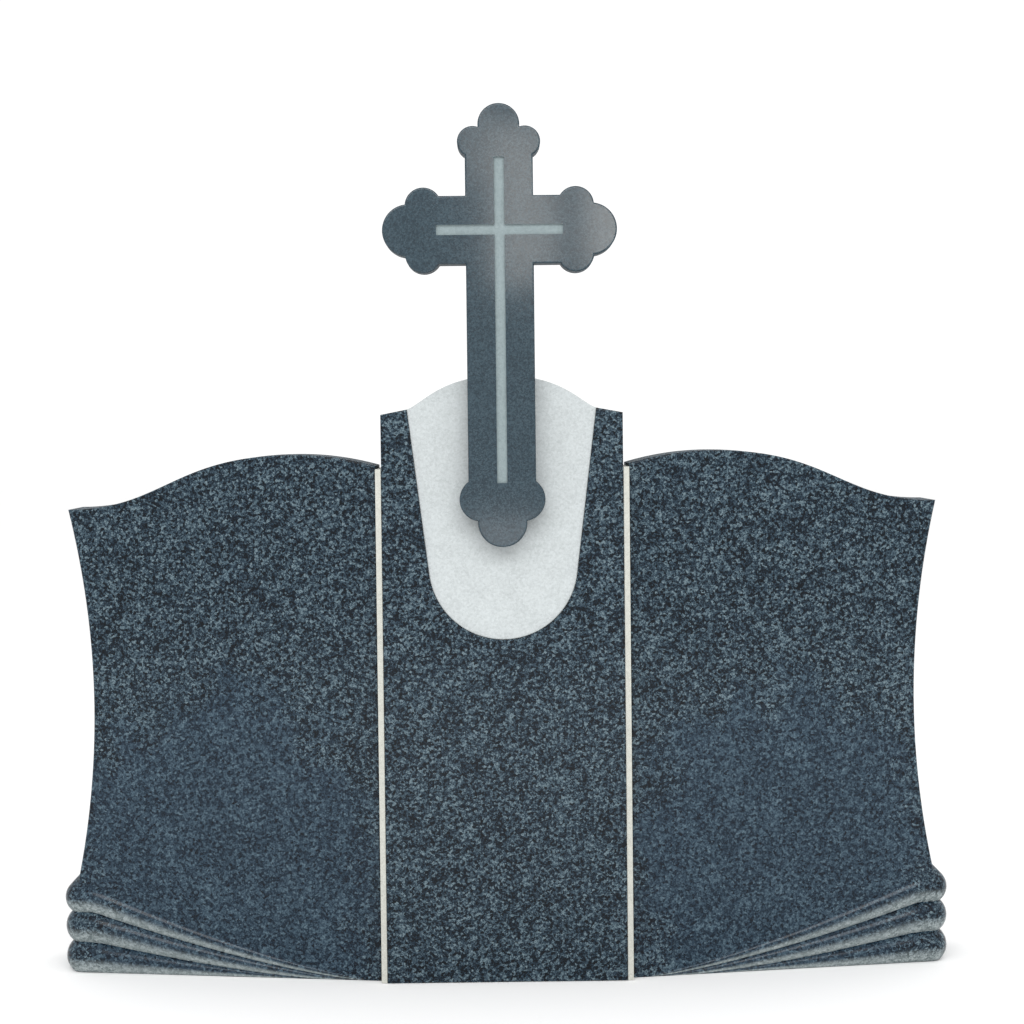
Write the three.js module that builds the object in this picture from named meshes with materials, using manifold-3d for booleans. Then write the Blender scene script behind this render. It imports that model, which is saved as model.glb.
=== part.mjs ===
// A headstone of three granite slabs: a tall centre slab with a light panel let into its front and
// a budded cross fixed on the panel, and two wings that sweep back, with rolled folds at their feet.
// Millimetres, +Z up. The front looks along -Y, and the origin is the middle of the centre slab's
// underside. X is measured from the middle of the stone, and depths back from the centre slab's front.
import * as THREE from "three";
import { mergeVertices } from "three/addons/utils/BufferGeometryUtils.js";
import Module from "manifold-3d";

// Driving dimensions
const GAP = 0.3;                 // clearance between pieces that touch
const OVERSHOOT = 1;             // how far a cutter starts outside what it cuts
const ARRIS = 3;                 // chamfer on the edges of the slabs
const CENTRE_WIDTH = 388;
const CENTRE_DEPTH = 160;
const CROWN_HEIGHT = 978;        // top of the centre slab's hump
const HUMP_FOOT_HEIGHT = 925;    // where the hump meets the shoulders
const SHOULDER_HEIGHT = 917;     // outer corners of the shoulders

const PANEL_RADIUS = 120;        // round foot of the panel
const PANEL_BOTTOM = 554;
const PANEL_TOP_HALF_WIDTH = 152;
const PANEL_THICKNESS = 40;
const PANEL_RECESS = 3;          // how far the panel lies behind the slab's face
const PANEL_STEPS = 24;          // fineness of its round foot

const JOINT_WIDTH = 9.4;         // light strip between two slabs
const JOINT_RECESS = 2;          // how far the strip lies behind the centre slab's face
const JOINT_DROP = 5;            // how far the strip stops below the wing's inner corner
const JOINT_SHORT = 1;           // how far it stops short of the wing's back

const WING_DEPTH = 140;
const WING_SET_BACK = 20;        // wing's face behind the centre slab's face, at the joint
const WING_SWEEP = THREE.MathUtils.degToRad(9.6);
const WING_LENGTH = 505;         // from the joint to the end above the folds
const TIP_LENGTH = 511;          // from the joint to the upper corner
const TIP_HEIGHT = 767;
const CUSP_HEIGHT = 153;         // where the hollow end meets the top fold
const WAIST_DEPTH = 35;          // how far the end is hollowed between tip and folds
const PEAK_HEIGHT = 854;
const PEAK_LENGTH = 135;
const INNER_HEIGHT = 835;        // wing's top at the joint

// Upper edges of the three folds: where each rises from the ground, and its height at the outer end
const FOLD_EDGES = [
  { from: 100, height: 51 },
  { from: 30, height: 101 },
  { from: 0, height: 146 },
];
const FOLD_RISE = 1.4;           // power of an edge's rise, where 1 is a straight line
const FOLD_FULL = 478;           // where it would reach its full height, from the joint
const FOLD_BEND = 20;            // how far before and after that it bends level
const FOLD_FULLNESS = 1.3;       // a roll's diameter for its height, so that neighbours run together
const FOLD_PROUD = 12;           // how far a full roll stands out from the face
const FOLD_REACH = 24;           // how far it stands out from the end
const FOLD_END = WING_LENGTH + FOLD_REACH;

const CROSS_TOP = 1404;
const CROSS_FOOT = 705.5;
const CROSS_SPAN = 370;
const CROSS_ARM_HEIGHT = 1206;   // middle of the arms
const CROSS_BAR = 107;           // width of the shaft and the arms
const CROSS_DEPTH = 50;
const CROSS_ARRIS = 2.5;
const CROSS_STEPS = 7;           // fineness of the buds
const LINE_WIDTH = 16;           // engraved line on the cross
const LINE_DEPTH = 5;
const LINE_TOP = 1320;
const LINE_BOTTOM = 807;
const LINE_HALF_SPAN = 100;

const GRANITE = { color: 0x3f4c56, roughness: 0.25, metalness: 0 };
const LIGHT_STONE = { color: 0xced4d4, roughness: 0.8, metalness: 0 };
const CROSS_GRANITE = { color: 0x55636c, roughness: 0.2, metalness: 0 };

const wasm = await Module();
wasm.setup();

// A closed geometry as a solid that can be cut and joined
function solid(geometry) {
  geometry.deleteAttribute("normal");
  geometry.deleteAttribute("uv");
  const welded = mergeVertices(geometry, 1e-3);
  return new wasm.Manifold(new wasm.Mesh({
    numProp: 3,
    vertProperties: new Float32Array(welded.attributes.position.array),
    triVerts: new Uint32Array(welded.index.array),
  }));
}

function joined(solids) {
  return solids.reduce((whole, piece) => whole.add(piece));
}

function geometryOf(shape) {
  const mesh = shape.getMesh();
  const geometry = new THREE.BufferGeometry();
  geometry.setAttribute("position", new THREE.BufferAttribute(new Float32Array(mesh.vertProperties), 3));
  geometry.setIndex(new THREE.BufferAttribute(new Uint32Array(mesh.triVerts), 1));
  geometry.computeVertexNormals();
  return geometry;
}

function mirrored(geometry) {
  const copy = geometry.clone().scale(-1, 1, 1);
  const index = copy.index.array;
  for (let i = 0; i < index.length; i += 3) {
    const first = index[i];
    index[i] = index[i + 1];
    index[i + 1] = first;
  }
  copy.computeVertexNormals();
  return copy;
}

// An outline stood upright and given depth, from its front face backwards, with chamfered edges
function upright(outline, front, depth, arris, curveSegments = 16) {
  const geometry = new THREE.ExtrudeGeometry(outline, {
    depth: depth - 2 * arris,
    bevelEnabled: arris > 0,
    bevelThickness: arris,
    bevelSize: arris,
    bevelOffset: -arris,
    bevelSegments: 1,
    curveSegments,
  });
  geometry.rotateX(Math.PI / 2);
  geometry.translate(0, front + depth - arris, 0);
  return solid(geometry);
}

function rectangle(left, right, bottom, top) {
  const outline = new THREE.Shape();
  outline.moveTo(left, bottom);
  outline.lineTo(right, bottom);
  outline.lineTo(right, top);
  outline.lineTo(left, top);
  outline.closePath();
  return outline;
}

// Centre slab: straight sides, level shoulders and an ogee hump
function centreOutline() {
  const half = CENTRE_WIDTH / 2;
  const humpFoot = PANEL_TOP_HALF_WIDTH;
  const hollow = 27;             // run of the hump's hollow foot
  const hollowTop = HUMP_FOOT_HEIGHT + 9;
  const round = 98;              // run of its round crown
  const outline = new THREE.Shape();
  outline.moveTo(-half, 0);
  outline.lineTo(half, 0);
  outline.lineTo(half, SHOULDER_HEIGHT);
  outline.lineTo(humpFoot, HUMP_FOOT_HEIGHT);
  outline.bezierCurveTo(humpFoot - hollow, hollowTop, round, CROWN_HEIGHT, 0, CROWN_HEIGHT);
  outline.bezierCurveTo(-round, CROWN_HEIGHT, hollow - humpFoot, hollowTop, -humpFoot, HUMP_FOOT_HEIGHT);
  outline.lineTo(-half, SHOULDER_HEIGHT);
  outline.closePath();
  return outline;
}

// The panel's U: a round foot and straight sides that spread upwards, carried on above the crown
function panelOutline(clearance) {
  const radius = PANEL_RADIUS + clearance;
  const spring = PANEL_BOTTOM + PANEL_RADIUS;
  const top = PANEL_TOP_HALF_WIDTH + clearance;
  const rise = HUMP_FOOT_HEIGHT - spring;
  const touch = Math.atan2(rise, top) - Math.acos(radius / Math.hypot(top, rise));
  const above = CROWN_HEIGHT + 50;
  const outline = new THREE.Shape();
  outline.moveTo(-top, above);
  outline.lineTo(-top, HUMP_FOOT_HEIGHT);
  outline.absarc(0, spring, radius, Math.PI - touch, 2 * Math.PI + touch, false);
  outline.lineTo(top, HUMP_FOOT_HEIGHT);
  outline.lineTo(top, above);
  outline.closePath();
  return outline;
}

function centreSlab() {
  const recessDepth = PANEL_RECESS + PANEL_THICKNESS + GAP;
  const recess = upright(panelOutline(GAP), -OVERSHOOT, recessDepth + OVERSHOOT, 0, PANEL_STEPS);
  return upright(centreOutline(), 0, CENTRE_DEPTH, ARRIS).subtract(recess);
}

function lightPanel() {
  const front = PANEL_RECESS - OVERSHOOT;
  const foot = upright(panelOutline(0), front, PANEL_THICKNESS + 2 * OVERSHOOT, 0, PANEL_STEPS);
  return upright(centreOutline(), PANEL_RECESS, PANEL_THICKNESS, ARRIS).intersect(foot);
}

// Wing, drawn straight from the joint outwards: it is sheared back afterwards, so that its inner end
// stays parallel to the joint
function wingOutline() {
  const outline = new THREE.Shape();
  const waist = (WING_LENGTH + TIP_LENGTH) / 2 - 2 * WAIST_DEPTH;
  const hollowFrom = TIP_LENGTH - 160;
  const roundTo = PEAK_LENGTH + 200;
  outline.moveTo(0, 0);
  outline.lineTo(WING_LENGTH, 0);
  outline.lineTo(WING_LENGTH, CUSP_HEIGHT);
  outline.quadraticCurveTo(waist, (CUSP_HEIGHT + TIP_HEIGHT) / 2, TIP_LENGTH, TIP_HEIGHT);
  outline.bezierCurveTo(hollowFrom, TIP_HEIGHT, roundTo, PEAK_HEIGHT, PEAK_LENGTH, PEAK_HEIGHT);
  outline.quadraticCurveTo(PEAK_LENGTH / 2, PEAK_HEIGHT, 0, INNER_HEIGHT);
  outline.closePath();
  return outline;
}

// Height of a fold's upper edge at a length along the wing: below the first fold is the ground
function foldEdge(number, length) {
  if (number < 0) return 0;
  const { from, height } = FOLD_EDGES[number];
  const bend = FOLD_FULL - FOLD_BEND;
  const past = THREE.MathUtils.clamp(length - bend, 0, 2 * FOLD_BEND);
  const run = Math.min(length, bend) + past - past ** 2 / (4 * FOLD_BEND) - from;
  return height * (Math.max(run, 0) / (FOLD_FULL - from)) ** FOLD_RISE;
}

// A fold is a roll that fills the height between two edges. Its size and place at a length along the wing
function rollAt(number, length) {
  const radiusAt = (at) => (foldEdge(number, at) - foldEdge(number - 1, at)) * FOLD_FULLNESS / 2;
  const full = radiusAt(FOLD_END);
  const radius = radiusAt(length);
  return {
    radius,
    depth: (full - FOLD_PROUD) * radius / full,
    height: (foldEdge(number, length) + foldEdge(number - 1, length)) / 2,
  };
}

// One fold: a tapering roll across the face, a ball round the corner and a roll back along the end
function fold(number) {
  const sides = 16;
  const rings = 14;
  const run = 40;                // length before the roll stands clear of the face
  const start = FOLD_EDGES[number].from + run;
  const corner = FOLD_END - rollAt(number, FOLD_END).radius;
  const end = rollAt(number, corner);

  const face = new THREE.CylinderGeometry(1, 1, 1, sides, rings);
  const place = face.attributes.position;
  for (let i = 0; i < place.count; i += 1) {
    const length = THREE.MathUtils.lerp(start, corner, place.getY(i) + 0.5);
    const roll = rollAt(number, length);
    const depth = roll.depth - roll.radius * place.getX(i);
    place.setXYZ(i, length, depth, roll.height + roll.radius * place.getZ(i));
  }

  const ball = new THREE.SphereGeometry(end.radius, sides, 10);
  ball.rotateX(Math.PI / 2);
  ball.translate(corner, end.depth, end.height);

  const back = new THREE.CylinderGeometry(end.radius, end.radius, WING_DEPTH - end.depth, sides);
  back.translate(corner, (WING_DEPTH + end.depth) / 2, end.height);
  return joined([solid(face), solid(ball), solid(back)]);
}

function wing() {
  const slab = upright(wingOutline(), 0, WING_DEPTH, ARRIS);
  const folds = FOLD_EDGES.map((_, number) => fold(number));
  const ground = new THREE.BoxGeometry(4 * WING_LENGTH, 4 * WING_LENGTH, 200);
  ground.translate(0, 0, -100);
  const geometry = geometryOf(joined([slab, ...folds]).subtract(solid(ground)));
  geometry.applyMatrix4(new THREE.Matrix4().makeShear(Math.tan(WING_SWEEP), 0, 0, 0, 0, 0));
  geometry.translate(CENTRE_WIDTH / 2 + JOINT_WIDTH + 2 * GAP, WING_SET_BACK, 0);
  geometry.computeVertexNormals();
  return geometry;
}

function jointStrip() {
  const inner = CENTRE_WIDTH / 2 + GAP;
  const outline = rectangle(inner, inner + JOINT_WIDTH, 0, INNER_HEIGHT - JOINT_DROP);
  const back = WING_SET_BACK + WING_DEPTH - JOINT_SHORT;
  return geometryOf(upright(outline, JOINT_RECESS, back - JOINT_RECESS, 0));
}

// An end of the cross, drawn pointing up with its tip at (0, 0): a round end bud and two side buds, which
// meet it in a notch
const BUDS = {
  top: { end: 33, side: 24.5, spread: 41, back: 60 },
  arm: { end: 41, side: 29, spread: 38, back: 65 },
  foot: { end: 39, side: 34.5, spread: 33.5, back: 75.5 },
};

// Angles at which the outline leaves the right side bud and joins the end bud
function budMeeting({ end, side, spread, back }) {
  const apart = Math.hypot(spread, back - end);
  const towards = Math.atan2(back - end, -spread);
  const atSide = Math.acos((side ** 2 + apart ** 2 - end ** 2) / (2 * side * apart));
  const atEnd = Math.acos((end ** 2 + apart ** 2 - side ** 2) / (2 * end * apart));
  return { leave: towards - atSide, join: towards - Math.PI + atEnd };
}

function addBuddedEnd(outline, bud, tip, turn) {
  const { leave, join } = budMeeting(bud);
  const neck = -Math.acos((CROSS_BAR / 2 - bud.spread) / bud.side);
  const bead = (x, y, radius, from, to) => {
    const centre = new THREE.Vector2(x, y).rotateAround(new THREE.Vector2(), turn).add(tip);
    outline.absarc(centre.x, centre.y, radius, from + turn, to + turn, false);
  };
  bead(bud.spread, -bud.back, bud.side, neck, leave);
  bead(0, -bud.end, bud.end, join, Math.PI - join);
  bead(-bud.spread, -bud.back, bud.side, Math.PI - leave, Math.PI - neck);
}

// The whole outline, from the right arm round by the top, the left arm and the foot
function crossOutline() {
  const half = CROSS_BAR / 2;
  const reach = CROSS_SPAN / 2;
  const level = CROSS_ARM_HEIGHT;
  const quarter = Math.PI / 2;
  const outline = new THREE.Shape();
  addBuddedEnd(outline, BUDS.arm, new THREE.Vector2(reach, level), -quarter);
  outline.lineTo(half, level + half);
  addBuddedEnd(outline, BUDS.top, new THREE.Vector2(0, CROSS_TOP), 0);
  outline.lineTo(-half, level + half);
  addBuddedEnd(outline, BUDS.arm, new THREE.Vector2(-reach, level), quarter);
  outline.lineTo(-half, level - half);
  addBuddedEnd(outline, BUDS.foot, new THREE.Vector2(0, CROSS_FOOT), 2 * quarter);
  outline.lineTo(half, level - half);
  outline.closePath();
  return outline;
}

function cross() {
  const back = PANEL_RECESS - GAP;
  const front = back - CROSS_DEPTH;
  const line = LINE_WIDTH / 2;
  const lines = [
    rectangle(-line, line, LINE_BOTTOM, LINE_TOP),
    rectangle(-LINE_HALF_SPAN, LINE_HALF_SPAN, CROSS_ARM_HEIGHT - line, CROSS_ARM_HEIGHT + line),
  ];
  const cut = (outline) => upright(outline, front - OVERSHOOT, LINE_DEPTH + OVERSHOOT, 0);
  const groove = joined(lines.map(cut));
  return upright(crossOutline(), front, CROSS_DEPTH, CROSS_ARRIS, CROSS_STEPS).subtract(groove);
}

const headstone = new THREE.Group();
headstone.position.y = -CENTRE_DEPTH / 2;

function addPiece(name, geometry, look) {
  const mesh = new THREE.Mesh(geometry, new THREE.MeshStandardMaterial(look));
  mesh.name = name;
  headstone.add(mesh);
}

const rightWing = wing();
const rightStrip = jointStrip();
addPiece("centre_slab", geometryOf(centreSlab()), GRANITE);
addPiece("light_panel", geometryOf(lightPanel()), LIGHT_STONE);
addPiece("cross", geometryOf(cross()), CROSS_GRANITE);
addPiece("right_wing", rightWing, GRANITE);
addPiece("left_wing", mirrored(rightWing), GRANITE);
addPiece("right_joint_strip", rightStrip, LIGHT_STONE);
addPiece("left_joint_strip", mirrored(rightStrip), LIGHT_STONE);

export default headstone;
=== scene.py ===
# %% [markdown]
# # A granite headstone with a budded cross
#
# The stone is three dark granite slabs: a tall centre slab with a light panel and a cross, and two wings
# that sweep back. The solids are already built and packed, at their real size, so this lesson only dresses
# them: every slab is modelled again with eased edges and round folds, and gets the grain and the polish of
# real granite. Everything is in metres, with Z up and the front looking along -Y.

# %% Load the frame
import math

import bpy
from mathutils import Matrix, Vector


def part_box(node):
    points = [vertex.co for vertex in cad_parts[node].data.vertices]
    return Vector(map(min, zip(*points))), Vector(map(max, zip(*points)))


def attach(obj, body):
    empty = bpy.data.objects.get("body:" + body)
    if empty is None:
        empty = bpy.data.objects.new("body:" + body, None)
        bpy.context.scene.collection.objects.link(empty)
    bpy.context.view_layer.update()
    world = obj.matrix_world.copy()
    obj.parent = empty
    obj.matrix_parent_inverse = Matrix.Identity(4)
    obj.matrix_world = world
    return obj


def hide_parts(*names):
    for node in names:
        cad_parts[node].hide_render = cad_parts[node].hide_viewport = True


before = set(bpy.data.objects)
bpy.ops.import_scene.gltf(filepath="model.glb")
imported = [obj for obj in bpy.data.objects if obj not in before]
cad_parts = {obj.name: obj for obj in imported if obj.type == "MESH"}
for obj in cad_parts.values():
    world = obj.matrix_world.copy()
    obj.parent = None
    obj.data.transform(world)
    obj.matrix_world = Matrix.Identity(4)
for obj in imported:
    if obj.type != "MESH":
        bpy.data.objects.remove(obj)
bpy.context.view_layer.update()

# %% [markdown]
# ## Sizes
#
# Most sizes are read from the boxes of the CAD nodes, so that a slab dressed here can't drift away from the
# solid that it stands for. Only what a box can't tell, such as the shape of a curve, is written down here.

# %% Sizes
slab_low, slab_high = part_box("centre_slab")
panel_low, panel_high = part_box("light_panel")
cross_low, cross_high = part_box("cross")
wing_low, wing_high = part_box("right_wing")
strip_low, strip_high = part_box("right_joint_strip")

ARRIS = 0.003                    # eased edge of a slab
PANEL_ARRIS = 0.002
STRIP_ARRIS = 0.0008
HUMP_FOOT = (0.152, 0.925)       # where the hump meets the shoulder: half width, height
HUMP_HOLLOW = (0.027, 0.009)     # how far in and up the curve is pulled at the foot of the hump
CROWN_PULL = 0.098               # how far out it is pulled at the crown
SHOULDER_HEIGHT = 0.917
PANEL_RADIUS = 0.120             # round foot of the panel
GAP = 0.0003                     # clearance round the panel
OVERSHOOT = 0.01                 # how far a cutter stands out of the face that it cuts

front = slab_low[1]
wing_inner = wing_low[0]
print("slab front at", round(front, 4), "wing starts at", round(wing_inner, 4))

# %% [markdown]
# ## Tools of the trade
#
# An operator acts on whatever is selected, so each helper starts from a clean selection. A slab is cut as a
# mason cuts it: the outline is drawn on the face, the block is given its depth, and the sharp edges are
# eased last. Here that is a circle whose corners are put on the outline, an extrude and an edge bevel.

# %% Selecting
def deselect_all():
    if bpy.context.object and bpy.context.object.mode != "OBJECT":
        bpy.ops.object.mode_set(mode="OBJECT")
    bpy.ops.object.select_all(action="DESELECT")


def pick(piece):
    deselect_all()
    piece.select_set(True)
    bpy.context.view_layer.objects.active = piece


def edit(piece, mode="VERT"):
    pick(piece)
    bpy.ops.object.mode_set(mode="EDIT")
    bpy.ops.mesh.select_mode(type=mode)


def done():
    bpy.ops.object.mode_set(mode="OBJECT")


# %% Curves for outlines
def cubic(a, b, c, d, steps=24):
    """Points of a Bezier curve from a towards d, without d itself."""
    points = []
    for step in range(steps):
        t = step / steps
        weights = ((1 - t) ** 3, 3 * t * (1 - t) ** 2, 3 * t * t * (1 - t), t ** 3)
        points.append(tuple(sum(w * p[i] for w, p in zip(weights, (a, b, c, d))) for i in (0, 1)))
    return points


def quadratic(a, b, c, steps=24):
    first = tuple(p + 2 / 3 * (q - p) for p, q in zip(a, b))
    second = tuple(p + 2 / 3 * (q - p) for p, q in zip(c, b))
    return cubic(a, first, second, c, steps)


def arc(centre, radius, start, end, steps):
    """Points of an arc, both ends included, angles in radians."""
    angles = [start + (end - start) * step / steps for step in range(steps + 1)]
    return [(centre[0] + radius * math.cos(a), centre[1] + radius * math.sin(a)) for a in angles]


# %% Cutting a slab
SAME_DEPTH = 1e-5                # two points closer in depth than this lie on one face


def cut_slab(name, outline, face, depth, sweep=0.0):
    deselect_all()
    bpy.ops.mesh.primitive_circle_add(vertices=len(outline), radius=1, fill_type="NGON")
    slab = bpy.context.object
    slab.name = name
    for corner, (x, z) in zip(slab.data.vertices, outline):
        corner.co = (x, face + sweep * x, z)
    edit(slab)
    bpy.ops.mesh.select_all(action="SELECT")
    bpy.ops.mesh.extrude_region_move(TRANSFORM_OT_translate={"value": (0, depth, 0)})
    bpy.ops.mesh.select_all(action="SELECT")
    bpy.ops.mesh.normals_make_consistent(inside=False)
    done()
    return slab


def ease_rims(slab, width, sweep=0.0, segments=3):
    """Rounds the rims of the front and back faces, but not the edges that run through the depth."""
    edit(slab, "EDGE")
    bpy.ops.mesh.select_all(action="DESELECT")
    done()
    points = [v.co.copy() for v in slab.data.vertices]
    for edge in slab.data.edges:
        a, b = (points[i] for i in edge.vertices)
        level = abs((a.y - sweep * a.x) - (b.y - sweep * b.x)) < SAME_DEPTH
        edge.select = level
    bpy.ops.object.mode_set(mode="EDIT")
    bpy.ops.mesh.bevel(offset=width, offset_type="OFFSET", segments=segments, affect="EDGES")
    done()


def combine(piece, tool, operation):
    pick(piece)
    bpy.ops.object.modifier_add(type="BOOLEAN")
    cut = piece.modifiers[-1]
    cut.operation = operation
    cut.solver = "EXACT"
    cut.object = tool
    bpy.ops.object.modifier_apply(modifier=cut.name)
    bpy.data.objects.remove(tool)


def smooth_stone(piece, angle=40):
    """Round parts shade smoothly, and large flat faces keep their own flat shading."""
    pick(piece)
    bpy.ops.object.shade_smooth_by_angle(angle=math.radians(angle))
    bpy.ops.object.modifier_add(type="WEIGHTED_NORMAL")
    weigh = piece.modifiers[-1]
    weigh.keep_sharp = True
    weigh.weight = 100
    bpy.ops.object.modifier_apply(modifier=weigh.name)


def report(piece):
    piece.data.calc_loop_triangles()
    print(piece.name, len(piece.data.vertices), "points,", len(piece.data.loop_triangles), "triangles")


# %% [markdown]
# ## Centre slab and light panel
#
# The centre slab has straight sides, two nearly level shoulders and a hump with a hollow foot. The panel is a
# U of light stone let into its front. Both share the hump, so one function draws it. The slab is hollowed
# with a boolean, as the recess is milled out of the real slab, and the panel drops in with a hair of play.

# %% Outlines of the centre
def hump(steps=24):
    """The top of the centre from the right foot of the hump over the crown to the left foot."""
    half, foot = HUMP_FOOT
    crown = slab_high[2]
    hollow = (half - HUMP_HOLLOW[0], foot + HUMP_HOLLOW[1])
    right = cubic((half, foot), hollow, (CROWN_PULL, crown), (0, crown), steps)
    left = [(-x, z) for x, z in reversed(right)]
    return right + [(0, crown)] + left


def slab_outline():
    half = slab_high[0]
    return [(-half, 0), (half, 0), (half, SHOULDER_HEIGHT), *hump(), (-half, SHOULDER_HEIGHT)]


def panel_sides(play):
    """The panel's U from the left foot of the hump down, round and up to the right foot."""
    radius = PANEL_RADIUS + play
    spring = panel_low[2] + PANEL_RADIUS
    half, rise = HUMP_FOOT[0] + play, HUMP_FOOT[1] - spring
    touch = math.atan2(rise, half) - math.acos(radius / math.hypot(half, rise))
    foot = arc((0, spring), radius, math.pi - touch, 2 * math.pi + touch, 64)
    return [(-half, HUMP_FOOT[1]), *foot, (half, HUMP_FOOT[1])]


# %% Cut the centre slab and its panel
centre_slab = cut_slab("dressed_centre_slab", slab_outline(), front, slab_high[1] - slab_low[1])
ease_rims(centre_slab, ARRIS)
recess_sides = panel_sides(GAP)
above = slab_high[2] + OVERSHOOT
recess_outline = recess_sides + [(recess_sides[-1][0], above), (recess_sides[0][0], above)]
recess_depth = panel_high[1] + GAP - front
recess = cut_slab("recess", recess_outline, front - OVERSHOOT, recess_depth + OVERSHOOT)
combine(centre_slab, recess, "DIFFERENCE")
smooth_stone(centre_slab)
report(centre_slab)

panel_outline = panel_sides(0) + hump()[1:-1]
light_panel = cut_slab("dressed_panel", panel_outline, panel_low[1], panel_high[1] - panel_low[1])
ease_rims(light_panel, PANEL_ARRIS)
smooth_stone(light_panel)
report(light_panel)

# %% [markdown]
# ## Wings
#
# A wing has an S-curved top, a hollow end, and at its foot three round folds, like the pages of an open book.
# They start as nothing near the joint, swell towards the outer corner and run back along the end. A fold is
# a curve with a round section: each point has its own radius, which a lathe or a plain sweep couldn't give.
# Round the corner it is half a ball, drawn out backwards. All folds are then joined to the slab, and the foot
# is sawn off flat.

# %% Outline of a wing
WING_DEPTH = 0.140
WING_SET_BACK = 0.020            # face of the wing behind the face of the centre, at the joint
SWEEP = math.tan(math.radians(9.6))
WING_LENGTH = 0.505              # from the joint to the end, just above the folds
TIP = (0.511, 0.767)             # upper corner: from the joint, height
TIP_PULL = 0.160                 # how far the top stays level at the corner and at the peak
PEAK = (0.135, 0.854)
PEAK_PULL = 0.200
INNER_HEIGHT = 0.835
CUSP_HEIGHT = 0.153              # where the hollow end meets the folds
WAIST_DEPTH = 0.035
BELOW_GROUND = -0.02             # sawn off later

wing_front = front + WING_SET_BACK


def wing_outline():
    waist = ((WING_LENGTH + TIP[0]) / 2 - 2 * WAIST_DEPTH, (CUSP_HEIGHT + TIP[1]) / 2)
    end = quadratic((WING_LENGTH, CUSP_HEIGHT), waist, TIP, 32)
    top = cubic(TIP, (TIP[0] - TIP_PULL, TIP[1]), (PEAK[0] + PEAK_PULL, PEAK[1]), PEAK, 40)
    inner = quadratic(PEAK, (PEAK[0] / 2, PEAK[1]), (0, INNER_HEIGHT), 16)
    foot = [(0, BELOW_GROUND), (WING_LENGTH, BELOW_GROUND)]
    return [(wing_inner + x, z) for x, z in foot + end + top + inner + [(0, INNER_HEIGHT)]]


def swept(length, depth):
    """Place on the plan of the wing: a length out from the joint and a depth behind its face."""
    return wing_inner + length, wing_front + depth + SWEEP * length


# %% Course of the folds
FOLD_EDGES = ((0.100, 0.051), (0.030, 0.101), (0.000, 0.146))  # upper edges: start, height at the end
FOLD_RISE = 1.4                  # power of an edge's rise, where 1 is a straight line
FOLD_FULL = 0.478                # length at which it would reach its full height
FOLD_BEND = 0.020                # how far before and after that it bends level
FOLD_FULLNESS = 1.3              # a fold is rounder than the gap between its edges
FOLD_PROUD = 0.012               # how far a full fold stands before the face
FOLD_REACH = 0.024               # how far it stands beyond the end
FOLD_END = WING_LENGTH + FOLD_REACH


def fold_edge(number, length):
    """Height of the upper edge of a fold, at a length along the wing."""
    if number < 0:
        return 0.0
    start, height = FOLD_EDGES[number]
    bend = FOLD_FULL - FOLD_BEND
    past = min(max(length - bend, 0), 2 * FOLD_BEND)
    run = min(length, bend) + past - past ** 2 / (4 * FOLD_BEND) - start
    return height * (max(run, 0) / (FOLD_FULL - start)) ** FOLD_RISE


def roll_radius(number, length):
    return (fold_edge(number, length) - fold_edge(number - 1, length)) * FOLD_FULLNESS / 2


def roll_at(number, length):
    """Radius, depth of the axis and height of the axis of one fold, at a length along the wing."""
    radius, full = roll_radius(number, length), roll_radius(number, FOLD_END)
    height = (fold_edge(number, length) + fold_edge(number - 1, length)) / 2
    return radius, (full - FOLD_PROUD) * radius / full, height


def roll_corner(number):
    """Length at which a fold turns from the face to the end."""
    return FOLD_END - roll_radius(number, FOLD_END)


# %% One fold
FOLD_RUN = 0.030                 # length before a roll stands clear of the face
HAIR = 0.0003                    # overlap that lets the parts of a fold join cleanly


def face_roll(number, steps=72):
    """The tapering roll across the face of the wing."""
    start, end = FOLD_EDGES[number][0] + FOLD_RUN, roll_corner(number) - HAIR
    deselect_all()
    bpy.ops.curve.primitive_nurbs_path_add()
    roll = bpy.context.object
    roll.name = f"face_roll_{number}"
    roll.data.splines.clear()
    axis = roll.data.splines.new("POLY")
    axis.points.add(steps)
    for step, point in enumerate(axis.points):
        length = start + (end - start) * step / steps
        radius, depth, height = roll_at(number, length)
        point.co = (*swept(length, depth), height, 1)
        point.radius = radius
    roll.data.bevel_depth = 1
    roll.data.bevel_resolution = 18
    roll.data.use_fill_caps = True
    bpy.ops.object.convert(target="MESH")
    edit(roll)
    bpy.ops.mesh.select_all(action="SELECT")
    bpy.ops.mesh.remove_doubles(threshold=1e-6)
    bpy.ops.mesh.normals_make_consistent(inside=False)
    done()
    return roll


def end_roll(number):
    """The ball at the corner and the roll that runs back from it."""
    corner = roll_corner(number)
    radius, depth, height = roll_at(number, corner)
    x, y = swept(corner, depth)
    back_x, back_y = swept(corner, WING_DEPTH - HAIR * (number + 1))
    deselect_all()
    bpy.ops.mesh.primitive_uv_sphere_add(
        segments=40, ring_count=20, radius=radius + HAIR,
        location=(x, y, height), rotation=(math.pi / 2, 0, 0))
    roll = bpy.context.object
    roll.name = f"end_roll_{number}"
    bpy.ops.object.transform_apply(location=True, rotation=True, scale=True)
    edit(roll)
    bpy.ops.mesh.select_all(action="SELECT")
    bpy.ops.mesh.bisect(plane_co=(x, y, height), plane_no=(0, 1, 0), clear_outer=True)
    bpy.ops.mesh.extrude_edges_move(TRANSFORM_OT_translate={"value": (0, WING_DEPTH, 0)})
    bpy.ops.mesh.select_all(action="SELECT")
    bpy.ops.mesh.bisect(
        plane_co=(back_x, back_y, 0), plane_no=(-SWEEP, 1, 0), clear_outer=True, use_fill=True)
    bpy.ops.mesh.select_all(action="SELECT")
    bpy.ops.mesh.normals_make_consistent(inside=False)
    done()
    return roll


# %% Cut the right wing
SLIVER = 2e-5                    # edges shorter than this are left over from the joining
FOLD_ANGLE = 55                  # creases between the folds that are blunter than this shade smoothly

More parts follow.
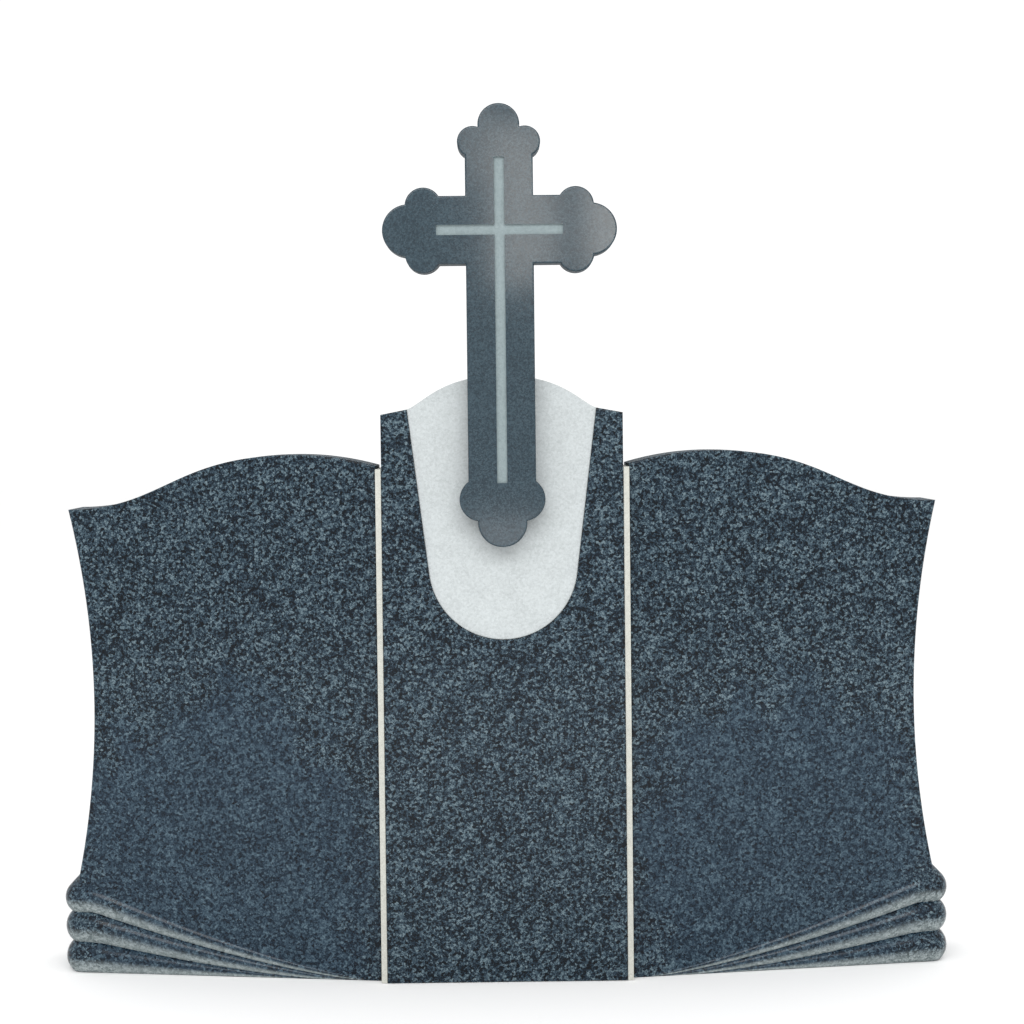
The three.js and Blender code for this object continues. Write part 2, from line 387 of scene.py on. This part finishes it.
sweep_start = wing_front - SWEEP * wing_inner
right_wing = cut_slab("dressed_right_wing", wing_outline(), sweep_start, WING_DEPTH, SWEEP)
ease_rims(right_wing, ARRIS, SWEEP)
for number in range(len(FOLD_EDGES)):
    combine(right_wing, face_roll(number), "UNION")
    combine(right_wing, end_roll(number), "UNION")

deselect_all()
bpy.ops.mesh.primitive_cube_add(size=2, location=(0, 0, -1))
combine(right_wing, bpy.context.object, "DIFFERENCE")
edit(right_wing)
bpy.ops.mesh.select_all(action="SELECT")
bpy.ops.mesh.dissolve_degenerate(threshold=SLIVER)
done()
report(right_wing)

# %% Copy the wing to the left
pick(right_wing)
bpy.ops.object.duplicate()
left_wing = bpy.context.object
left_wing.name = "dressed_left_wing"
left_wing.scale = (-1, 1, 1)
bpy.ops.object.transform_apply(location=True, rotation=True, scale=True)
edit(left_wing)
bpy.ops.mesh.select_all(action="SELECT")
bpy.ops.mesh.normals_make_consistent(inside=False)
done()
for wing in (right_wing, left_wing):
    smooth_stone(wing, FOLD_ANGLE)
    report(wing)

# %% [markdown]
# ## The undersides of the folds
#
# The undersides of the folds get a painted reflection: their colour is made paler, as if they mirrored the
# bright floor, and they are made duller as well. Each corner of a face on a fold is told how far below the
# axis of its fold it lies, as an attribute that the granite material reads. An attribute is part of the mesh,
# so the painted reflection and the dull finish stay on the stone from every side.

# %% Mark the undersides of the folds for the painted reflection
ON_FOLD = 0.0004                 # a face that stands out further than this is on a fold
PAINTED_REFLECTION_FULL = 0.45              # depth below the axis, in radii, where the painted reflection and the dullness are full


def fold_of(face):
    """Number of the fold that a face of a wing lies on, or None on the flat stone."""
    length = abs(face.center.x) - wing_inner
    proud = wing_front + SWEEP * length - face.center.y
    if max(proud, length - WING_LENGTH) < ON_FOLD:
        return None
    near = min(length, WING_LENGTH)
    return next((n for n in range(len(FOLD_EDGES)) if face.center.z < fold_edge(n, near)), None)


def mark_dull_and_painted_reflection(wing):
    # The mark named dressed says where a fold's underside gets its paler painted reflection and its dull
    # finish.
    dressed = wing.data.attributes.new("dressed", "FLOAT", "CORNER")
    for face in wing.data.polygons:
        number = fold_of(face)
        if number is None:
            continue
        for loop in face.loop_indices:
            point = wing.data.vertices[wing.data.loops[loop].vertex_index].co
            radius, _, height = roll_at(number, min(abs(point.x) - wing_inner, roll_corner(number)))
            fall = (height - point.z) / max(radius, 1e-6)
            dressed.data[loop].value = min(max(fall / PAINTED_REFLECTION_FULL, 0), 1)


for wing in (right_wing, left_wing):
    mark_dull_and_painted_reflection(wing)

# %% [markdown]
# ## Joint strips
#
# The joints between the slabs are filled with a thin light strip that lies just behind the face of the
# centre. It is a plain bar with its sharp front rims rubbed off.

# %% Cut the joint strips
def joint_strip(name, side):
    left, right = sorted((side * strip_low[0], side * strip_high[0]))
    outline = [(left, 0), (right, 0), (right, strip_high[2]), (left, strip_high[2])]
    strip = cut_slab(name, outline, strip_low[1], strip_high[1] - strip_low[1])
    ease_rims(strip, STRIP_ARRIS)
    smooth_stone(strip)
    report(strip)
    return strip


right_strip = joint_strip("dressed_right_strip", 1)
left_strip = joint_strip("dressed_left_strip", -1)

# %% [markdown]
# ## Cross
#
# Every arm of the cross ends in three buds. The outline is drawn with a compass: a round end bud, two smaller
# side buds, and the straight bars between. Where two circles cross, the outline changes from one to the
# other. The engraved line is cut in with a second, thin cross.

# %% Outline of a budded end
BUDS = {                         # radii of the end bud and the side buds, and the side buds' place
    "top": {"end": 0.033, "side": 0.0245, "spread": 0.041, "back": 0.060},
    "arm": {"end": 0.041, "side": 0.029, "spread": 0.038, "back": 0.065},
    "foot": {"end": 0.039, "side": 0.0345, "spread": 0.0335, "back": 0.0755},
}
CROSS_BAR = 0.107
CROSS_ARRIS = 0.0025
ARM_HEIGHT = 1.206


def bud_meeting(end, side, spread, back):
    """Angles at which the outline leaves the right side bud and joins the end bud."""
    apart = math.hypot(spread, back - end)
    towards = math.atan2(back - end, -spread)
    leave = towards - math.acos((side ** 2 + apart ** 2 - end ** 2) / (2 * side * apart))
    join = towards - math.pi + math.acos((end ** 2 + apart ** 2 - side ** 2) / (2 * end * apart))
    return leave, join


def budded_end(kind):
    """Outline of one end that points up, with its tip at (0, 0), from the right neck to the left neck."""
    bud = BUDS[kind]
    leave, join = bud_meeting(**bud)
    neck = -math.acos((CROSS_BAR / 2 - bud["spread"]) / bud["side"])
    right = arc((bud["spread"], -bud["back"]), bud["side"], neck, leave, 20)
    tip = arc((0, -bud["end"]), bud["end"], join, math.pi - join, 28)
    left = [(-x, z) for x, z in reversed(right)]
    return right + tip[1:-1] + left


def cross_outline():
    """The whole outline, counter-clockwise from the crotch below the right arm."""
    half, reach = CROSS_BAR / 2, cross_high[0]
    ends = (("arm", -90, (reach, ARM_HEIGHT)), ("top", 0, (0, cross_high[2])),
            ("arm", 90, (-reach, ARM_HEIGHT)), ("foot", 180, (0, cross_low[2])))
    corners = ((1, 1), (-1, 1), (-1, -1), (1, -1))
    outline = []
    for (kind, turn, tip), (side, up) in zip(ends, corners):
        turned = Matrix.Rotation(math.radians(turn), 2)
        outline += [tuple(turned @ Vector(point) + Vector(tip)) for point in budded_end(kind)]
        outline.append((side * half, ARM_HEIGHT + up * half))
    return outline


# %% Cut the cross and its engraved line
LINE_HALF = 0.008
LINE_DEPTH = 0.005
LINE_TOP, LINE_BOTTOM, LINE_REACH = 1.320, 0.807, 0.100

cross = cut_slab("dressed_cross", cross_outline(), cross_low[1], cross_high[1] - cross_low[1])
ease_rims(cross, CROSS_ARRIS)
line_outline = [
    (LINE_HALF, ARM_HEIGHT - LINE_HALF), (LINE_REACH, ARM_HEIGHT - LINE_HALF),
    (LINE_REACH, ARM_HEIGHT + LINE_HALF), (LINE_HALF, ARM_HEIGHT + LINE_HALF),
    (LINE_HALF, LINE_TOP), (-LINE_HALF, LINE_TOP),
    (-LINE_HALF, ARM_HEIGHT + LINE_HALF), (-LINE_REACH, ARM_HEIGHT + LINE_HALF),
    (-LINE_REACH, ARM_HEIGHT - LINE_HALF), (-LINE_HALF, ARM_HEIGHT - LINE_HALF),
    (-LINE_HALF, LINE_BOTTOM), (LINE_HALF, LINE_BOTTOM)]
chisel = cut_slab("chisel", line_outline, cross_low[1] - OVERSHOOT, LINE_DEPTH + OVERSHOOT)
combine(cross, chisel, "DIFFERENCE")
smooth_stone(cross)
report(cross)

# %% [markdown]
# ## Granite
#
# Polished dark granite is a pack of crystals a few millimetres across: near-black, slate blue and a few pale
# ones. A Voronoi texture gives every crystal its own cell and a random number, which a colour ramp turns into
# a mineral. A finer layer breaks the cells up. The grain is one node group, shared by every stone here.

# %% Node helpers
def new_group(name, inputs, outputs):
    group = bpy.data.node_groups.new(name, "ShaderNodeTree")
    for label, kind, value in inputs:
        socket = group.interface.new_socket(label, in_out="INPUT", socket_type=kind)
        socket.default_value = value
    for label, kind in outputs:
        group.interface.new_socket(label, in_out="OUTPUT", socket_type=kind)
    return group, group.nodes.new("NodeGroupInput"), group.nodes.new("NodeGroupOutput")


def add_node(tree, kind, **values):
    node = tree.nodes.new(kind)
    for key, value in values.items():
        setattr(node, key, value)
    return node


def math_node(tree, operation, *values):
    node = add_node(tree, "ShaderNodeMath", operation=operation)
    for socket, value in zip(node.inputs, values):
        if isinstance(value, (int, float)):
            socket.default_value = value
        else:
            tree.links.new(value, socket)
    return node.outputs[0]


def ramp_node(tree, value, stops):
    node = add_node(tree, "ShaderNodeValToRGB")
    elements = node.color_ramp.elements
    while len(elements) < len(stops):
        elements.new(0.5)
    for element, (place, colour) in zip(elements, stops):
        element.position = place
        element.color = (*colour, 1)
    tree.links.new(value, node.inputs[0])
    return node.outputs[0]


# %% Grain group
WOBBLE = 0.002                   # how far the crystals' borders wander
WOBBLE_SCALE = 450
FINE_STEP = 2.2                  # the fine crystals are smaller by this
FINE_SHARE = 0.45                # and count this much in the colour
CLOUD_SCALE = 26


def crystals(tree, place, scale):
    """Two random numbers for every crystal of one size."""
    cells = add_node(tree, "ShaderNodeTexVoronoi")
    tree.links.new(place, cells.inputs["Vector"])
    tree.links.new(scale, cells.inputs["Scale"])
    split = add_node(tree, "ShaderNodeSeparateColor")
    tree.links.new(cells.outputs["Color"], split.inputs[0])
    return split.outputs[0], split.outputs[1]


def make_grain():
    group, entry, out = new_group(
        "stone_grain",
        [("Scale", "NodeSocketFloat", 150.0)],
        [("Crystal", "NodeSocketFloat"), ("Fleck", "NodeSocketFloat"), ("Cloud", "NodeSocketFloat")])
    links = group.links
    place = add_node(group, "ShaderNodeTexCoord").outputs["Object"]
    wander = add_node(group, "ShaderNodeTexNoise")
    wander.inputs["Scale"].default_value = WOBBLE_SCALE
    links.new(place, wander.inputs["Vector"])
    moved = add_node(group, "ShaderNodeVectorMath", operation="MULTIPLY_ADD")
    links.new(wander.outputs["Color"], moved.inputs[0])
    moved.inputs[1].default_value = (WOBBLE, WOBBLE, WOBBLE)
    links.new(place, moved.inputs[2])

    coarse, _ = crystals(group, moved.outputs[0], entry.outputs["Scale"])
    fine_scale = math_node(group, "MULTIPLY", entry.outputs["Scale"], FINE_STEP)
    fine, fleck = crystals(group, moved.outputs[0], fine_scale)
    fine_part = math_node(group, "MULTIPLY", fine, FINE_SHARE)
    both = math_node(group, "MULTIPLY_ADD", coarse, 1 - FINE_SHARE, fine_part)
    links.new(both, out.inputs["Crystal"])
    links.new(fleck, out.inputs["Fleck"])

    cloud = add_node(group, "ShaderNodeTexNoise")
    cloud.inputs["Scale"].default_value = CLOUD_SCALE
    cloud.inputs["Detail"].default_value = 4
    links.new(place, cloud.inputs["Vector"])
    links.new(cloud.outputs[0], out.inputs["Cloud"])
    return group


grain = make_grain()
print("grain group with", len(grain.nodes), "nodes")

# %% [markdown]
# Granite isn't even all over. Low on both wings lies a bluer patch where the crystals are closer to one
# another in colour. It is a ragged oval, placed by its distance from the middle, so that both wings get it.

# %% Calm patch
PATCH_CENTRE = (0.45, 0.18)      # from the middle of the stone, height
PATCH_HALF = (0.31, 0.36)        # half its width and height, to where it ends
PATCH_TEAR = (15, 0.85)          # noise that tears its border: scale, strength
PATCH_EDGE = (0.50, 0.78)        # where the torn border starts and where the patch is full


def make_patch():
    group, _, out = new_group("calm_patch", [], [("Mask", "NodeSocketFloat")])
    place = add_node(group, "ShaderNodeTexCoord").outputs["Object"]
    either_side = add_node(group, "ShaderNodeVectorMath", operation="ABSOLUTE")
    group.links.new(place, either_side.inputs[0])
    oval = add_node(group, "ShaderNodeVectorMath", operation="MULTIPLY_ADD")
    group.links.new(either_side.outputs[0], oval.inputs[0])
    oval.inputs[1].default_value = (1 / PATCH_HALF[0], 0, 1 / PATCH_HALF[1])
    oval.inputs[2].default_value = (-PATCH_CENTRE[0] / PATCH_HALF[0], 0, -PATCH_CENTRE[1] / PATCH_HALF[1])
    fade = add_node(group, "ShaderNodeTexGradient", gradient_type="SPHERICAL")
    group.links.new(oval.outputs[0], fade.inputs[0])
    ragged = add_node(group, "ShaderNodeTexNoise")
    ragged.inputs["Scale"].default_value = PATCH_TEAR[0]
    ragged.inputs["Detail"].default_value = 5
    group.links.new(place, ragged.inputs["Vector"])
    edge = add_node(group, "ShaderNodeMapRange", interpolation_type="SMOOTHSTEP")
    edge.inputs["From Min"].default_value = PATCH_EDGE[0]
    edge.inputs["From Max"].default_value = PATCH_EDGE[1]
    torn = math_node(group, "MULTIPLY_ADD", ragged.outputs[0], PATCH_TEAR[1], fade.outputs["Fac"])
    group.links.new(torn, edge.inputs[0])
    group.links.new(edge.outputs[0], out.inputs["Mask"])
    return group


patch = make_patch()
print("patch group with", len(patch.nodes), "nodes")

# %% [markdown]
# ## Finishes
#
# The front is polished, so it is smooth and its colour is deep. The edges are only honed: the same minerals,
# but dull. The undersides of the folds get a painted reflection, a paler colour, and are made duller. The
# sawn back scatters the light and looks paler, and the saw leaves fine lines across the back. The cross is
# cut from a closer-grained granite of the same colour.

# %% Granite finishes
DARK_MINERALS = (
    (0.25, (0.0005, 0.002, 0.004)), (0.40, (0.003, 0.009, 0.0165)), (0.52, (0.012, 0.025, 0.039)),
    (0.64, (0.031, 0.053, 0.072)), (0.76, (0.061, 0.095, 0.116)), (0.90, (0.118, 0.163, 0.185)))
HONED_GAIN, HONED_VEIL = 1.25, 0.012  # a dull face scatters light, which veils the dark crystals
HONED_MINERALS = tuple(
    (place, [HONED_GAIN * part + HONED_VEIL for part in colour]) for place, colour in DARK_MINERALS)
CLOSE_MINERALS = ((0.20, (0.004, 0.015, 0.024)), (0.50, (0.012, 0.030, 0.043)), (0.80, (0.028, 0.052, 0.068)))
# Colours of the painted reflection on the undersides of the folds.
PAINTED_REFLECTION_MINERALS = ((0.20, (0.10, 0.125, 0.13)), (0.50, (0.20, 0.235, 0.24)), (0.80, (0.33, 0.37, 0.375)))
SAWN_MINERALS = ((0.20, (0.06, 0.075, 0.085)), (0.50, (0.11, 0.13, 0.14)), (0.80, (0.19, 0.21, 0.22)))
CALM_TONE = 0.59                 # place on the ramp that the crystals of the calm patch draw near to
CALM_TINT = (0.98, 1.02, 1.07)
CLOUD_DRIFT = 0.3                # how far the clouds shift the crystals along the ramp
GLOSS_SPREAD = 0.06              # how much rougher the dullest crystals are


def new_finish(name):
    finish = bpy.data.materials.new(name)
    finish.use_nodes = True
    return finish, finish.node_tree, finish.node_tree.nodes["Principled BSDF"]


def mix_colours(tree, factor, first, second, blend="MIX"):
    """Mixes two colours, each a link or plain numbers, by a factor that varies over the surface."""
    mix = add_node(tree, "ShaderNodeMix", data_type="RGBA", blend_type=blend)
    tree.links.new(factor, mix.inputs["Factor"])
    sockets = [socket for socket in mix.inputs if socket.type == "RGBA"]
    for socket, colour in zip(sockets, (first, second)):
        if isinstance(colour, tuple):
            socket.default_value = (*colour, 1)
        else:
            tree.links.new(colour, socket)
    return next(socket for socket in mix.outputs if socket.type == "RGBA")


def granite(name, scale, roughness, shine, minerals=DARK_MINERALS, calm=0.0):
    """Granite of one finish; shine and calm are the strengths of its mirror reflection and its calm patch."""
    finish, tree, shader = new_finish(name)
    stone = add_node(tree, "ShaderNodeGroup", node_tree=grain)
    stone.inputs["Scale"].default_value = scale
    drift = math_node(tree, "MULTIPLY_ADD", stone.outputs["Cloud"], CLOUD_DRIFT, -CLOUD_DRIFT / 2)
    tone = math_node(tree, "ADD", stone.outputs["Crystal"], drift)
    if calm:
        mask = add_node(tree, "ShaderNodeGroup", node_tree=patch).outputs["Mask"]
        nearer = math_node(tree, "SUBTRACT", CALM_TONE, tone)
        tone = math_node(tree, "MULTIPLY_ADD", nearer, math_node(tree, "MULTIPLY", mask, calm), tone)
    colour = ramp_node(tree, tone, minerals)
    if calm:
        colour = mix_colours(tree, mask, colour, CALM_TINT, "MULTIPLY")
    gloss = math_node(tree, "MULTIPLY_ADD", stone.outputs["Fleck"], GLOSS_SPREAD, roughness)
    tree.links.new(colour, shader.inputs["Base Color"])
    tree.links.new(gloss, shader.inputs["Roughness"])
    shader.inputs["Specular IOR Level"].default_value = shine
    return finish, tone, colour, gloss


GRAIN = 250                      # crystals per metre
CLOSE_GRAIN = 420
polished, *_ = granite("polished_granite", GRAIN, 0.14, 0.2)
honed, *_ = granite("honed_granite", GRAIN, 0.55, 0.1, HONED_MINERALS)
cross_granite, *_ = granite("cross_granite", CLOSE_GRAIN, 0.07, 0.5, CLOSE_MINERALS)
cross_honed, *_ = granite("cross_honed_granite", CLOSE_GRAIN, 0.5, 0.15, CLOSE_MINERALS)


# %% Painted reflection on the fold undersides, and sawn backs
UNDERSIDE_DULL = 0.4               # how much rougher the undersides of the folds are


def blend_dull_and_painted_reflection(finish, tone, colour, gloss):
    """Paints a paler reflection into the colour, and dulls the granite, where the mesh is marked dressed."""
    tree = finish.node_tree
    shader = tree.nodes["Principled BSDF"]
    mark = add_node(tree, "ShaderNodeAttribute", attribute_name="dressed").outputs["Fac"]
    # Where marked, the colour is mixed towards the paler ramp: a painted reflection of the bright floor.
    blended = mix_colours(tree, mark, colour, ramp_node(tree, tone, PAINTED_REFLECTION_MINERALS))
    tree.links.new(blended, shader.inputs["Base Color"])
    tree.links.new(math_node(tree, "MULTIPLY_ADD", mark, UNDERSIDE_DULL, gloss), shader.inputs["Roughness"])
    return finish


def saw_lines(finish):
    """Fine level lines, as a frame saw leaves them."""
    tree = finish.node_tree
    lines = add_node(tree, "ShaderNodeTexWave", bands_direction="Z")
    lines.inputs["Scale"].default_value = 60
    lines.inputs["Distortion"].default_value = 2.5
    lines.inputs["Detail"].default_value = 3
    tree.links.new(add_node(tree, "ShaderNodeTexCoord").outputs["Object"], lines.inputs["Vector"])
    bump = add_node(tree, "ShaderNodeBump")
    bump.inputs["Strength"].default_value = 0.35
    bump.inputs["Distance"].default_value = 0.001
    tree.links.new(lines.outputs["Fac"], bump.inputs["Height"])
    tree.links.new(bump.outputs[0], tree.nodes["Principled BSDF"].inputs["Normal"])
    return finish


# The wings' granite carries the painted reflection on the undersides of the folds.
wing_granite = blend_dull_and_painted_reflection(*granite("wing_granite", GRAIN, 0.14, 0.2, calm=0.42))
sawn = saw_lines(granite("sawn_granite", GRAIN, 0.6, 0.2, SAWN_MINERALS)[0])

# %% [markdown]
# ## Light stone
#
# The panel and the strips are a fine, nearly white stone with a faint grain and no gloss. The engraved line
# shows the stone below the polish, so it gets the same kind of finish in a bluish grey.

# %% Light stone
PANEL_TINT = (0.43, 0.46, 0.465)
STRIP_TINT = (0.45, 0.455, 0.415)
LINE_TINT = (0.22, 0.268, 0.278)
LIGHT_SHADES = ((0.1, 0.8), (0.5, 1.0), (0.9, 1.15))  # place on the ramp, share of the tint
LIGHT_CLOUD = 0.4                # how much the clouds count beside the crystals


def light_stone(name, tint, roughness, scale):
    finish, tree, shader = new_finish(name)
    stone = add_node(tree, "ShaderNodeGroup", node_tree=grain)
    stone.inputs["Scale"].default_value = scale
    clouds = math_node(tree, "MULTIPLY", stone.outputs["Cloud"], LIGHT_CLOUD)
    tone = math_node(tree, "MULTIPLY_ADD", stone.outputs["Crystal"], 1 - LIGHT_CLOUD, clouds)
    stops = [(place, [share * part for part in tint]) for place, share in LIGHT_SHADES]
    tree.links.new(ramp_node(tree, tone, stops), shader.inputs["Base Color"])
    bump = add_node(tree, "ShaderNodeBump")
    bump.inputs["Strength"].default_value = 0.12
    bump.inputs["Distance"].default_value = 0.0006
    tree.links.new(stone.outputs["Crystal"], bump.inputs["Height"])
    tree.links.new(bump.outputs[0], shader.inputs["Normal"])
    shader.inputs["Roughness"].default_value = roughness
    shader.inputs["Specular IOR Level"].default_value = 0.2
    return finish


panel_stone = light_stone("panel_stone", PANEL_TINT, 0.75, 300)
strip_stone = light_stone("strip_stone", STRIP_TINT, 0.8, 340)
line_stone = light_stone("engraved_stone", LINE_TINT, 0.8, 300)

# %% [markdown]
# ## Putting the finishes on
#
# A slab has three finishes: the polished front with its eased rim, the sawn back, and the honed edges
# between. Which one a face gets follows from where it looks; the folds count as front all the way round.

# %% Put the finishes on
FRONT, BACK, EDGE = range(3)
LINE_SLOT = 1
LOOKS_BACK = 0.9                 # a face whose normal points back by more than this is the back
LOOKS_ASIDE = 0.4                # and one that points forward or back by less is an edge
NEAR = 0.001                     # tolerance round the engraved line


def dress(piece, *finishes):
    piece.data.materials.clear()
    for finish in finishes:
        piece.data.materials.append(finish)


def side_of(face):
    if face.normal.y > LOOKS_BACK:
        return BACK
    return EDGE if abs(face.normal.y) < LOOKS_ASIDE else FRONT


def in_line(face):
    """Whether a face of the cross is part of the engraved line."""
    aside, above = abs(face.center.x), abs(face.center.z - ARM_HEIGHT)
    sunk = NEAR < face.center.y - cross_low[1] < LINE_DEPTH + NEAR
    in_bar = above < LINE_HALF + NEAR and aside < LINE_REACH + NEAR
    return sunk and (aside < LINE_HALF + NEAR or in_bar)


dress(centre_slab, polished, sawn, honed)
for face in centre_slab.data.polygons:
    face.material_index = side_of(face)
for wing in (right_wing, left_wing):
    dress(wing, wing_granite, sawn, honed)
    for face in wing.data.polygons:
        face.material_index = side_of(face) if fold_of(face) is None else FRONT
dress(light_panel, panel_stone)
for strip in (right_strip, left_strip):
    dress(strip, strip_stone)
dress(cross, cross_granite, line_stone, cross_honed)
for face in cross.data.polygons:
    looks_forward = face.normal.y < -LOOKS_ASIDE
    face.material_index = LINE_SLOT if in_line(face) else (FRONT if looks_forward else EDGE)

# %% [markdown]
# ## Fixing the pieces to the frame
#
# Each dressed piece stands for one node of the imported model. The headstone has no moving parts, so all of
# them ride on its single body.

# %% Fix the pieces
PIECES = (
    (centre_slab, "centre_slab", "dark_granite"),
    (right_wing, "right_wing", "dark_granite"),
    (left_wing, "left_wing", "dark_granite"),
    (light_panel, "light_panel", "light_stone"),
    (right_strip, "right_joint_strip", "light_stone"),
    (left_strip, "left_joint_strip", "light_stone"),
    (cross, "cross", "cross_granite"),
)
for piece, node, slot in PIECES:
    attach(piece, "root")
    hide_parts(node)
print(len(PIECES), "pieces fixed")

# %% [markdown]
# ## Floor, light and camera
#
# The stone stands on a plain pale floor in a white room. A wide soft box above the camera fills the front, so
# that the cross hardly shades the panel behind it. Small ones hang behind the camera: the polished cross
# mirrors them, which makes its top, its middle, its right arm and its foot pale while the shaft stays dark.
# The camera stands in front of the middle, a little above the wings, as for a catalogue picture.

# %% Floor
deselect_all()
bpy.ops.mesh.primitive_plane_add(size=60, location=(0, 0, -0.0005))
floor = bpy.context.object
floor.name = "floor"
floor_finish, _, floor_shader = new_finish("pale_floor")
floor_shader.inputs["Base Color"].default_value = (0.93, 0.93, 0.93, 1)
floor_shader.inputs["Roughness"].default_value = 0.9
floor.data.materials.append(floor_finish)

# %% Light
world = bpy.data.worlds.new("white_room")
bpy.context.scene.world = world
world.use_nodes = True
room = world.node_tree.nodes["Background"]
room.inputs["Color"].default_value = (1, 1, 1, 1)
room.inputs["Strength"].default_value = 1.08


def soft_box(name, place, target, size, power, tint=(1, 1, 1)):
    light = bpy.data.lights.new(name, "AREA")
    light.shape = "RECTANGLE"
    light.size, light.size_y = size
    light.energy = power
    light.color = tint
    lamp = bpy.data.objects.new(name, light)
    bpy.context.scene.collection.objects.link(lamp)
    lamp.location = place
    lamp.rotation_euler = (Vector(target) - Vector(place)).to_track_quat("-Z", "Y").to_euler()
    return lamp


WARM = (1.0, 0.96, 0.90)
MIRROR_PLANE = front - 4.1       # where the boxes hang that the cross mirrors
soft_box("wide_box", (0, front - 4.5, 3.2), (0, 0, 0.75), (4.5, 2.0), 160)
soft_box("middle_box", (0.09, MIRROR_PLANE, 1.64), (0.09, front, 1.64), (0.22, 0.55), 1.72, WARM)
soft_box("right_box", (0.48, MIRROR_PLANE, 1.58), (0.48, front, 1.58), (0.36, 0.36), 2.4, WARM)
soft_box("top_box", (-0.08, MIRROR_PLANE, 1.87), (-0.08, front, 1.87), (0.12, 0.32), 0.28, WARM)
soft_box("low_box", (0.01, MIRROR_PLANE, 0.52), (0.01, front, 0.52), (0.30, 0.12), 0.35)

# %% Camera
CAMERA_DISTANCE = 3.600          # from the centre slab's face
CAMERA_HEIGHT = 0.900
CAMERA_SIDE = -0.0103
CAMERA_PITCH = math.radians(2.238)
CAMERA_YAW = math.radians(0.403)
CAMERA_ROLL = math.radians(0.64)  # the picture is turned a little
LENS = 79.12

lens = bpy.data.cameras.new("catalogue_camera")
lens.lens = LENS
lens.sensor_width = 36
camera = bpy.data.objects.new("catalogue_camera", lens)
bpy.context.scene.collection.objects.link(camera)
level = Matrix.Rotation(-CAMERA_YAW, 4, "Z") @ Matrix.Rotation(math.pi / 2 - CAMERA_PITCH, 4, "X")
aim = level @ Matrix.Rotation(-CAMERA_ROLL, 4, "Z")
camera.matrix_world = Matrix.Translation((CAMERA_SIDE, front - CAMERA_DISTANCE, CAMERA_HEIGHT)) @ aim
bpy.context.scene.camera = camera
bpy.context.scene.view_settings.view_transform = "Standard"
